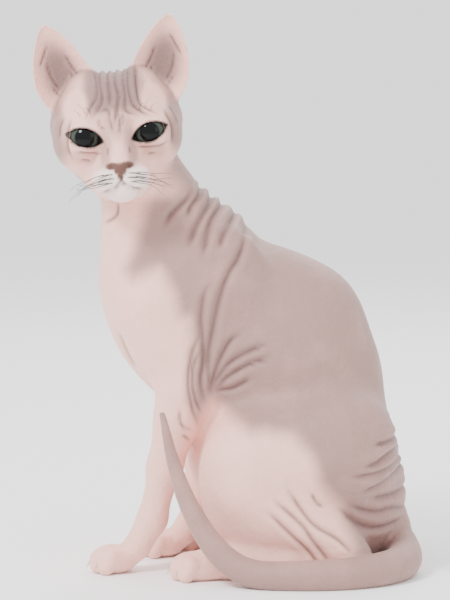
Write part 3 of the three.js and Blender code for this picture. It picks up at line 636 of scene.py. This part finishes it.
def markings(p, normal):
    q = to_head(p).astype(float)
    l, f, u = q.T
    side = np.abs(l)
    ear_gap = ear_field(q.astype(np.float32), 0.0)
    on_ear = step(1.5, 0.0, ear_gap) * step(12, 24, u)
    on_head = step(84, 66, length(q)) * step(-58, -46, u + 0.3 * f - 8)
    body = step(-7, 9, inside_edge(p[:, 1:], PINK_EDGE))
    body = np.maximum(body, step(2.5, 0.5, tail_field(p.astype(np.float32))))
    crown = step(7, 22, u) * step(27, 16, side)
    bridge = 0.55 * np.maximum(blob(side, u, (8.5, -4), (5, 13)), blob(side, u, (0, 8), (11, 12)))
    temple = step(31, 41, side) * step(-24, -8, u)
    under = 0.35 * blob(side, u, (24, -13), (11, 5))
    beside = 0.7 * blob(side, u, (9.5, -12), (4, 12))
    nape = step(14, -10, f)
    face = np.maximum.reduce((crown, bridge, temple, under, beside, nape))
    face = np.maximum(face - 0.8 * blob(side, u, (27, 23), (8, 9)) * step(0, 12, f), 0)
    mauve = body * (1 - on_head) + face * on_head
    m = mirrored(q) - EAR_BASE
    h, w = m @ EAR_UP, m @ EAR_OUT
    inner, outer = ear_outline(h)
    t = (w - (inner + outer) / 2) / ((outer - inner) / 2)
    front = step(-0.2, 0.4, normal @ HEAD_AXES[1])
    cup = step(0.95, 0.05, np.abs(t)) * step(0, 20, h) * step(56, 30, h) * front
    mauve = mauve * (1 - on_ear) + on_ear * np.maximum(cup, 0.35 * (1 - front))
    brow = 0.75 * step(12, 26, u) * step(22, 12, side) * step(-10, 4, f) * (1 - on_ear) * on_head
    pale = np.maximum(blob(side, u, (9, -31.5), (12, 8.5)), 0.75 * blob(side, u, (0, -42), (12, 7)))
    pale = pale * step(22, 34, f) * on_head
    opening = lid_opening(mirrored(q), 0.0)
    rim = step(1.6, 0.35, opening) * (f > 20) * on_head
    wings = blob(side, u, (5.0, -21.0), (5.2, 2.6), 0.2)
    middle = blob(side, u, (0, -23.5), (4.6, 4.6), 0.2)
    nose = np.maximum(wings, middle)
    nose = np.maximum(nose, blob(side, u, (0, -27.6), (2.2, 3.6), 0.2)) * step(45, 49, f) * on_head
    return {"mauve": mauve, "pale": pale, "rim": rim, "nose": nose, "cup": np.maximum(cup * on_ear, brow)}


# Skin: one closed surface over the whole animal, from ear tip to tail tip. Real one is bare
# skin with a suede-like down. It is the body itself, so nothing fixes it.
points, quads = surface_nets(cat_field, (-104, -160, -6), (116, 148, 404), 2.8, 1.5)
tris = triangulate(points, quads)
points = settle(points, cat_field, 1.6, 3)
points = relax(points, tris, np.ones(len(points), bool), 0.5)
points = settle(points, cat_field, 1.0, 2)
centre = points[tris].mean(1)
in_head = (length(to_head(centre) * (1, 1, 0.9)) < 58) & (to_head(centre)[:, 1] > -14)
ears = to_head(centre)[:, 2] > 30
toes = (centre[:, 2] < 20) & (centre[:, 1] < -26) & (centre[:, 1] > -125) & (centre[:, 0] < 72)
nape = (centre[:, 2] > 108) & (centre[:, 2] < 292) & (centre[:, 1] > -62) & (centre[:, 1] < 22)
nape &= (centre[:, 1] < 12 + 0.2 * (centre[:, 2] - 190)) & (np.abs(centre[:, 0]) > 18)
nape |= (centre[:, 2] > 222) & (centre[:, 2] < 292) & (centre[:, 1] > -62) & (centre[:, 1] < 10)
rump = (centre[:, 1] > 64) & (centre[:, 2] > 26) & (centre[:, 2] < 108)
thigh = (centre[:, 0] > 40) & (centre[:, 1] > 10) & (centre[:, 1] < 82) & (centre[:, 2] < 74)
points, tris = refine(points, tris, in_head | ears | toes | nape | rump | thigh)
points = settle(points, cat_field, 0.8, 2)
centre = to_head(points[tris].mean(1))
lids = np.abs(lid_opening(mirrored(centre), 0.0)) < 2.2
lids &= (centre[:, 1] > 20)
points, tris = refine(points, tris, lids)
points = settle(points, cat_field, 0.5, 2)
normal = slope_at(cat_field, points)
normal /= np.maximum(length(normal), 1e-6)[:, None]
height, shade, line = folds(points, normal)
skin = make_object("skin", points + normal * height[:, None] + CAT_TO_ROW, tris)
# Painted shade: in the creases, and along the mouth line and the ear folds.
attribute(skin, "crease", shade)
attribute(skin, "line", line)
for name, values in markings(points, normal).items():
    attribute(skin, name, values)

# Eyes: a wet ball in each socket, held by the lids. One is made in place for each side.
eyes = []
for name, side in (("left", 1), ("right", -1)):
    centre = from_head(EYE_AT * np.array((side, 1, 1)))
    bpy.ops.mesh.primitive_uv_sphere_add(segments=48, ring_count=32, radius=EYE_RADIUS * MM)
    eye = bpy.context.object
    eye.name = "eyeball_" + name
    eye.data.transform(Matrix.Translation(Vector((centre + CAT_TO_ROW) * MM)))
    eye.data.polygons.foreach_set("use_smooth", [True] * len(eye.data.polygons))
    eyes.append(eye)


def tube(route, radii, sides):
    """A round tapering tube along a route, closed at both ends."""
    route = np.asarray(route, float)
    run = np.gradient(route, axis=0)
    run /= np.linalg.norm(run, axis=1)[:, None]
    across = np.cross(run[0], (0.3, 0.2, 1.0))
    rings = []
    for at, way, radius in zip(route, run, radii):
        across = across - way * (across @ way)
        across /= np.linalg.norm(across)
        other = np.cross(way, across)
        turns = [2 * math.pi * k / sides for k in range(sides)]
        rings += [at + radius * (math.cos(a) * across + math.sin(a) * other) for a in turns]
    faces = [
        (i * sides + k, i * sides + (k + 1) % sides, (i + 1) * sides + (k + 1) % sides, (i + 1) * sides + k)
        for i in range(len(route) - 1) for k in range(sides)
    ]
    last = (len(route) - 1) * sides
    faces.append(tuple(range(sides))[::-1])
    faces.append(tuple(last + k for k in range(sides)))
    return rings, faces


def joined(name, parts):
    """One object of several closed meshes."""
    points, faces = [], []
    for some, loops in parts:
        faces += [tuple(i + len(points) for i in loop) for loop in loops]
        points += list(some)
    return make_object(name, np.array(points) + CAT_TO_ROW, faces)


def on_skin(start, way):
    """Where a line from inside the head meets the skin."""
    near, far = 0.0, 60.0
    for _ in range(24):
        middle = (near + far) / 2
        inside = cat_field((start + way * middle)[None])[0] < 0
        near, far = (middle, far) if inside else (near, middle)
    return start + way * near


# Whiskers: short, kinked hairs in three rows on each side of the muzzle, and three over each eye.
# The real ones are dark stiff hair, rooted in the skin.
chance = np.random.default_rng(11)
hairs = []
WHISKER_ROWS = ((-26.5, (8, 12, 16)), (-29.5, (7, 11, 15)), (-32.5, (9, 13, 17)))
for side in (1, -1):
    for up, places in WHISKER_ROWS:
        for place in places:
            span = chance.uniform(20, 31)
            way = np.array((side * (0.75 + place * 0.03), 0.5, -0.10 + chance.uniform(-0.12, 0.14)))
            way /= np.linalg.norm(way)
            root = on_skin(from_head((side * place * 0.72, 30, up)), HEAD_AXES[1])
            curl = chance.uniform(-0.15, 0.3)
            wave, phase = chance.uniform(0.5, 1.2), chance.uniform(0, 6)
            route = []
            for t in np.linspace(0, 1, 13):
                bend = np.array((0, -0.25 * t * t, -0.2 * t * t + curl * t**4)) * span
                kink = np.array((0, 0, wave * t * math.sin(phase + 9 * t)))
                route.append(root + (way * span * t + bend + kink) @ HEAD_AXES)
            route[0] = root - (way @ HEAD_AXES) * 1.2
            hairs.append(tube(route, np.linspace(0.30, 0.09, 13), 5))
    for place, up, span in ((17, 15.5, 13), (21, 16.5, 15), (25, 15, 11)):
        root = on_skin(from_head((side * place, 6, up)), HEAD_AXES[1])
        route = []
        for t in np.linspace(0, 1, 9):
            move = np.array((side * 0.35 * t * t, 0.75 * t, 0.65 * t - 0.2 * t * t)) * span
            route.append(root + (move + (0, 0, 0.6 * t * math.sin(7 * t + place))) @ HEAD_AXES)
        route[0] = root - HEAD_AXES[1] * 0.8
        hairs.append(tube(route, np.linspace(0.2, 0.07, 9), 5))
whiskers = joined("whiskers", hairs)

# Claws: small hooks of pale horn, each rooted in the tip of its toe and mostly drawn back.
hooks = []
for heel, toe, side in PAWS.values():
    forward, _, toes = paw_toes(heel, toe, side)
    for root, knuckle, tip in toes:
        route = [
            tip + forward * out + np.array((0, 0, up))
            for out, up in ((2.0, 2.6), (4.6, 2.9), (6.6, 1.9), (7.8, 0.1), (8.2, -1.4))
        ]
        hooks.append(tube(route, (1.15, 1.05, 0.8, 0.45, 0.12), 8))
claws = joined("claws", hooks)


class Shader:
    """A material of one principled shader, with short ways to add and link nodes."""

    def __init__(self, name, colour=(0.8, 0.8, 0.8), roughness=0.6, **sockets):
        self.material = bpy.data.materials.new(name)
        self.material.use_nodes = True
        self.tree = self.material.node_tree
        self.main = self.tree.nodes["Principled BSDF"]
        self.set(self.main, "Base Color", (*colour, 1))
        self.set(self.main, "Roughness", roughness)
        for socket, value in sockets.items():
            self.set(self.main, socket.replace("_", " "), value)

    def set(self, node, socket, value):
        target = node.inputs[socket]
        if isinstance(value, bpy.types.NodeSocket):
            self.tree.links.new(value, target)
        else:
            target.default_value = value

    def node(self, kind, inputs=(), **settings):
        made = self.tree.nodes.new(kind)
        for key, value in settings.items():
            setattr(made, key, value)
        for socket, value in dict(inputs).items():
            self.set(made, socket, value)
        return made

    def attribute(self, name):
        return self.node("ShaderNodeAttribute", attribute_name=name).outputs["Fac"]

    def math(self, operation, *values, clamp=False):
        made = self.node("ShaderNodeMath", dict(enumerate(values)), operation=operation, use_clamp=clamp)
        return made.outputs[0]

    def mix(self, share, one, two):
        made = self.node("ShaderNodeMix", data_type="RGBA", clamp_factor=True)
        for socket, value in ((0, share), (6, one), (7, two)):
            self.set(made, socket, value if not isinstance(value, tuple) else (*value, 1))
        return made.outputs[2]

    def noise(self, scale, detail=3.0, roughness=0.55, at=None):
        at = at or self.node("ShaderNodeTexCoord").outputs["Object"]
        inputs = {"Vector": at, "Scale": scale, "Detail": detail, "Roughness": roughness}
        return self.node("ShaderNodeTexNoise", inputs).outputs[0]

    def bump(self, height, depth, below=None):
        inputs = {"Height": height, "Distance": depth, "Strength": 1.0}
        if below is not None:
            inputs["Normal"] = below
        return self.node("ShaderNodeBump", inputs).outputs[0]


def srgb(*levels):
    """Linear colour from the 0 to 255 levels of a screen."""
    return tuple(((v / 255 + 0.055) / 1.055) ** 2.4 for v in levels)


# Bare skin: pink or mauve-grey, with painted shade in the creases, slightly translucent, matt like suede.
hide = Shader("bare_skin", roughness=0.56)
uneven = hide.math("MULTIPLY_ADD", hide.noise(34, 4), 0.5, -0.25)
mauve = hide.math("ADD", hide.attribute("mauve"), uneven, clamp=True)
colour = hide.mix(mauve, srgb(252, 198, 184), srgb(150, 121, 114))
colour = hide.mix(hide.math("MULTIPLY", hide.noise(11, 2), 0.16), colour, srgb(222, 150, 140))
colour = hide.mix(hide.attribute("cup"), colour, srgb(132, 104, 99))
colour = hide.mix(hide.math("MULTIPLY", hide.attribute("pale"), 0.85), colour, srgb(253, 240, 236))
# Painted shade: the skin's creases are darkened towards a deep brown.
colour = hide.mix(hide.math("MULTIPLY", hide.attribute("crease"), 0.75), colour, srgb(96, 66, 64))
# Painted shade in the groove of the mouth line and in the folds inside the ears.
colour = hide.mix(hide.math("MULTIPLY", hide.attribute("line"), 0.85), colour, srgb(84, 56, 54))
colour = hide.mix(hide.attribute("rim"), colour, srgb(52, 38, 38))
colour = hide.mix(hide.attribute("nose"), colour, srgb(96, 62, 50))
grain = hide.noise(620, 3, 0.6)
colour = hide.mix(hide.math("MULTIPLY", grain, 0.10), colour, srgb(140, 100, 96))
hide.set(hide.main, "Base Color", colour)
hide.set(hide.main, "Subsurface Weight", 0.10)
hide.set(hide.main, "Subsurface Radius", (0.006, 0.0022, 0.0012))
hide.set(hide.main, "Subsurface Scale", 1.0)
hide.set(hide.main, "Specular IOR Level", 0.35)
hide.set(hide.main, "Sheen Weight", 0.12)
wrinkled = hide.bump(hide.noise(150, 5, 0.6), 0.0011)
hide.set(hide.main, "Normal", hide.bump(grain, 0.00035, wrinkled))
skin.data.materials.append(hide.material)

# Eyes: a wide dark pupil in a grey-green iris, under a wet cornea.
PUPIL, IRIS = 6.9, 9.9
for eye, side in zip(eyes, (1, -1)):
    wet = Shader("eye_" + ("left" if side > 0 else "right"), roughness=0.06)
    centre = (from_head(EYE_AT * np.array((side, 1, 1))) + CAT_TO_ROW) * MM
    at = wet.node("ShaderNodeTexCoord").outputs["Object"]
    out = wet.node("ShaderNodeVectorMath", {0: at, 1: tuple(centre)}, operation="SUBTRACT").outputs[0]

    def reach(axis):
        inputs = {0: out, 1: tuple(HEAD_AXES[axis] / MM)}
        return wet.node("ShaderNodeVectorMath", inputs, operation="DOT_PRODUCT").outputs["Value"]

    across, rise = reach(0), reach(2)
    ring = wet.math("SQRT", wet.math("ADD", wet.math("POWER", across, 2.0), wet.math("POWER", rise, 2.0)))
    angle = wet.math("ARCTAN2", rise, across)
    turned = {0: wet.math("MULTIPLY", ring, 0.35), 1: wet.math("MULTIPLY", angle, 9.0)}
    spoke = wet.node("ShaderNodeCombineXYZ", turned)
    fibre = wet.noise(1.0, 4, 0.7, spoke.outputs[0])
    iris = wet.mix(fibre, srgb(20, 24, 22), srgb(78, 86, 76))

    def over(edge, soft, one, two):
        inputs = {0: ring, 1: edge - soft, 2: edge + soft}
        share = wet.node("ShaderNodeMapRange", inputs, interpolation_type="SMOOTHSTEP")
        return wet.mix(share.outputs[0], one, two)

    colour = over(PUPIL, 0.5, srgb(5, 6, 7), iris)
    colour = over(IRIS - 0.6, 0.8, colour, srgb(26, 26, 25))
    colour = over(IRIS + 0.5, 0.3, colour, srgb(120, 104, 98))
    wet.set(wet.main, "Base Color", colour)
    wet.set(wet.main, "Specular IOR Level", 0.05)
    wet.set(wet.main, "Coat Weight", 0.22)
    wet.set(wet.main, "Coat Roughness", 0.03)
    eye.data.materials.append(wet.material)


# Whiskers are dark stiff hair, claws pale horn.
whiskers.data.materials.append(Shader("whisker_hair", srgb(58, 50, 48), 0.5).material)
claws.data.materials.append(Shader("claw_horn", srgb(214, 190, 176), 0.35).material)

flesh = [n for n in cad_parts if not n.startswith("eye")]
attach(skin, "root")
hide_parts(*flesh)
for piece in (whiskers, claws):
    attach(piece, "root")
for eye, node in zip(eyes, ("eye_left", "eye_right")):
    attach(eye, "root")
    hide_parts(node)

# Floor, light and camera. The camera looks at the cat's left side, a little from above.
CAMERA_RISE = math.radians(6)
CAMERA_DISTANCE = 1.92
bpy.ops.mesh.primitive_plane_add(size=6)
floor = bpy.context.object
floor.name = "floor"
floor.data.materials.append(Shader("floor", (0.95, 0.95, 0.95), 0.9).material)
world = bpy.data.worlds.new("world")
scene.world = world
world.use_nodes = True
world.node_tree.nodes["Background"].inputs[0].default_value = (1, 1, 1, 1)
world.node_tree.nodes["Background"].inputs[1].default_value = 1.7
AIM = Vector((0, -0.014, 0.1925))
# Place, watts and width of the main lamp, the one behind the cat and the one on its far side.
LAMPS = (
    ((1.1, -1.0, 1.7), 52, 0.5),
    ((1.0, 1.5, 0.9), 5, 1.0),
    ((-1.2, 0.3, 1.3), 14, 1.0),
)
for at, watts, width in LAMPS:
    lamp = bpy.data.lights.new("lamp", "AREA")
    lamp.energy, lamp.size = watts, width
    holder = bpy.data.objects.new("lamp", lamp)
    holder.location = at
    holder.rotation_euler = (AIM - Vector(at)).to_track_quat("-Z", "Y").to_euler()
    scene.collection.objects.link(holder)
camera = bpy.data.objects.new("camera", bpy.data.cameras.new("camera"))
camera.data.lens, camera.data.sensor_width = 160, 36
back = Vector((math.cos(CAMERA_RISE), 0, math.sin(CAMERA_RISE)))
aim = AIM + Vector(CAT_TO_ROW * MM)
camera.location = aim + back * CAMERA_DISTANCE
camera.rotation_euler = (-back).to_track_quat("-Z", "Y").to_euler()
scene.collection.objects.link(camera)
scene.camera = camera
